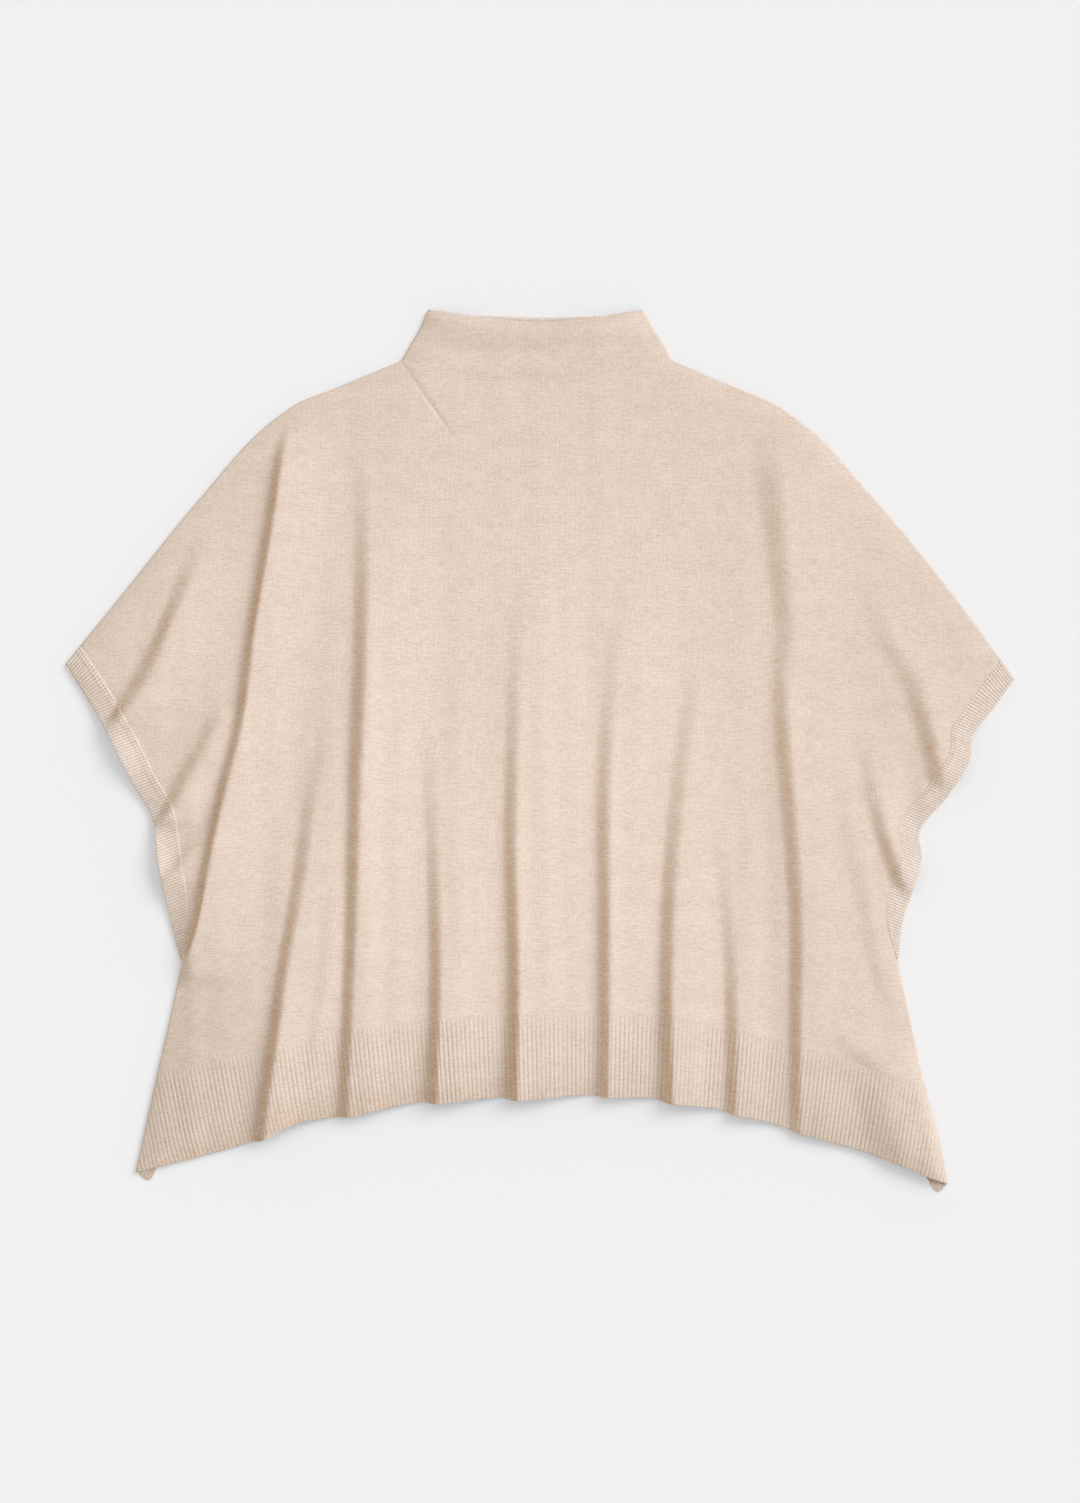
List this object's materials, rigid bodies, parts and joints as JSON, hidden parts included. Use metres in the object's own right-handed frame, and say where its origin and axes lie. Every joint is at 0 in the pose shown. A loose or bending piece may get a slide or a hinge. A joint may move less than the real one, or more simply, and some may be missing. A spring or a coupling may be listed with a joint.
{
  "type": "knitted poncho sweater",
  "caption": "Boxy knitted poncho sweater lying flat, with funnel neck, open ribbed armholes, deep ribbed hem and soft folds falling from the yoke.",
  "frame": {"origin": "centre of the garment's outline on the surface that it lies on", "axes": "+X across the garment to the wearer's left sleeve tip, +Y up to the neck, +Z away from the surface, front uppermost"},
  "size_m": [0.8532, 0.7924, 0.0288],
  "materials": {
    "jersey": "soft brushed heathered oat-beige plain knit",
    "ribbing": "fine one-by-one rib in the same heathered oat-beige yarn"
  },
  "bodies": {
    "root": {"back_panel": "jersey", "front_panel": "jersey", "collar_back": "jersey", "collar_front": "jersey", "hem_rib_back": "ribbing", "hem_rib_front": "ribbing", "armhole_trim_back_left": "ribbing", "armhole_trim_back_right": "ribbing", "armhole_trim_front_left": "ribbing", "armhole_trim_front_right": "ribbing"}
  },
  "joints": []
}
